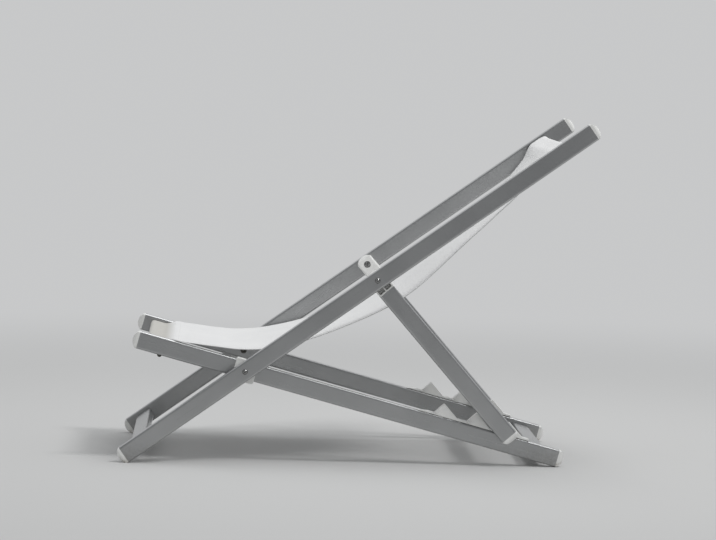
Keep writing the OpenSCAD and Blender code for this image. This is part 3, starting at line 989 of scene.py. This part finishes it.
stitches = {
    "pitch": 0.0046,
    "length": 0.0034,
    "width": 0.0006,
    "height": 0.00045,
    "rings": [(-0.62, 0.85), (0, 1.0), (0.62, 0.85)],  # shares of half length and of width
    "sides": 6,
    "sink": 0.4,  # how deep the ends go into the cloth, as a share of the height
    "hemColumn": 4,
    "underShares": (0.06, 0.94),  # shares between which the hem shows from below
    "seamInset": 0.006,
    "seamRows": (0.006, 0.015),  # past the start of the seam
    # rough heights of the cloth and of its lap at each seam, to find their rows by
    "frontHeights": (0.022, 0.020),
    "topHeights": (0.004, 0.002),
}
thread = {
    "dark": (0.60, 0.60, 0.59, 1),
    "light": (0.73, 0.73, 0.72, 1),
    "toneSpan": (0.35, 0.65),
    "fuzz": (900.0, 2.0),
    "roughness": (0.6, 0.8),
    "sheen": 0.2,
}


def stitchMesh(mesh, centre, along, out, c):
    across = out.cross(along).normalized() * (c["width"] / 2)
    ahead, up = along * (c["length"] / 2), out * c["height"]
    sides = c["sides"]
    rings = []
    for x, grow in c["rings"]:
        ring = []
        for k in range(sides):
            a = 2 * math.pi * k / sides
            around = across * (grow * math.cos(a)) + up * (grow * math.sin(a))
            ring.append(mesh.verts.new(centre + ahead * x + around))
        rings.append(ring)
    ends = [mesh.verts.new(centre + ahead * x - up * c["sink"]) for x in (-1, 1)]
    for k in range(sides):
        after = (k + 1) % sides
        for first, second in zip(rings, rings[1:]):
            mesh.faces.new((first[k], second[k], second[after], first[after]))
        mesh.faces.new((rings[0][after], ends[0], rings[0][k]))
        mesh.faces.new((rings[-1][k], ends[1], rings[-1][after]))


def sewLine(mesh, line, c):
    # line is a list of places and outward directions on the cloth's face
    travelled, nextAt = 0, c["pitch"] / 2
    for (a, outA), (b, outB) in zip(line, line[1:]):
        length = (b - a).length
        while length > 0 and nextAt <= travelled + length:
            share = (nextAt - travelled) / length
            out = outA.lerp(outB, share).normalized()
            stitchMesh(mesh, a.lerp(b, share), (b - a).normalized(), out, c)
            nextAt += c["pitch"]
        travelled += length


def rowNear(rows, kind, place):
    found = [row for row in rows if row[0]["kind"] == kind]
    return min(found, key=lambda row: (row[len(row) // 2]["up"] - place).length)


def sewStitches(rows, c, s):
    mesh = bmesh.new()
    first, last = c["underShares"]
    for j in (c["hemColumn"], len(rows[0]) - 1 - c["hemColumn"]):
        column = [row[j] for row in rows if "Lap" not in row[j]["kind"]]
        below = [spot for spot in column
                 if spot["kind"] == "hang" and first < spot["share"] < last]
        sewLine(mesh, [(spot["up"], spot["out"]) for spot in column], c)
        sewLine(mesh, [(spot["down"], -spot["out"]) for spot in below], c)
    seams = (
        (tilts["seat"], s["frontBar"] + s["barHalf"], 1, "frontLap", c["frontHeights"]),
        (tilts["back"], s["topBar"] - s["barHalf"], -1, "topLap", c["topHeights"]))
    for reach in c["seamRows"]:
        for tilt, bar, side, lap, heights in seams:
            for kind, high in zip(("hang", lap), heights):
                place = railPoint(tilt, bar + side * (s["seamOff"] + reach), high)
                row = rowNear(rows, kind, place)
                inner = abs(row[0]["mark"][0]) - c["seamInset"]
                line = [spot for spot in row if abs(spot["mark"][0]) < inner]
                sewLine(mesh, [(spot["up"], spot["out"]) for spot in line], c)
    for face in mesh.faces:
        face.smooth = True
    return pieceFrom(mesh, "slingStitches")


def threadFinish(name, v):
    mat, skin, add, link = newFinish(name)
    place = add("ShaderNodeTexCoord").outputs["Object"]
    fuzz = noiseAt(add, link, place, *v["fuzz"])
    link(twoTone(add, link, fuzz, v), skin.inputs["Base Color"])
    roughen(add, link, skin, fuzz, v)
    skin.inputs["Sheen Weight"].default_value = v["sheen"]
    return mat


slingStitches = sewStitches(slingRows, stitches, sling)
slingStitches.data.materials.append(threadFinish("slingThread", thread))
print("stitches sewn, faces", len(slingStitches.data.polygons))

for cloth in (slingCloth, slingStitches):
    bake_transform(cloth, "seat_frame", "back_frame", start=(-0.40, 0, 0.25), end=(0.42, 0, 0.70))
print("sling hung")
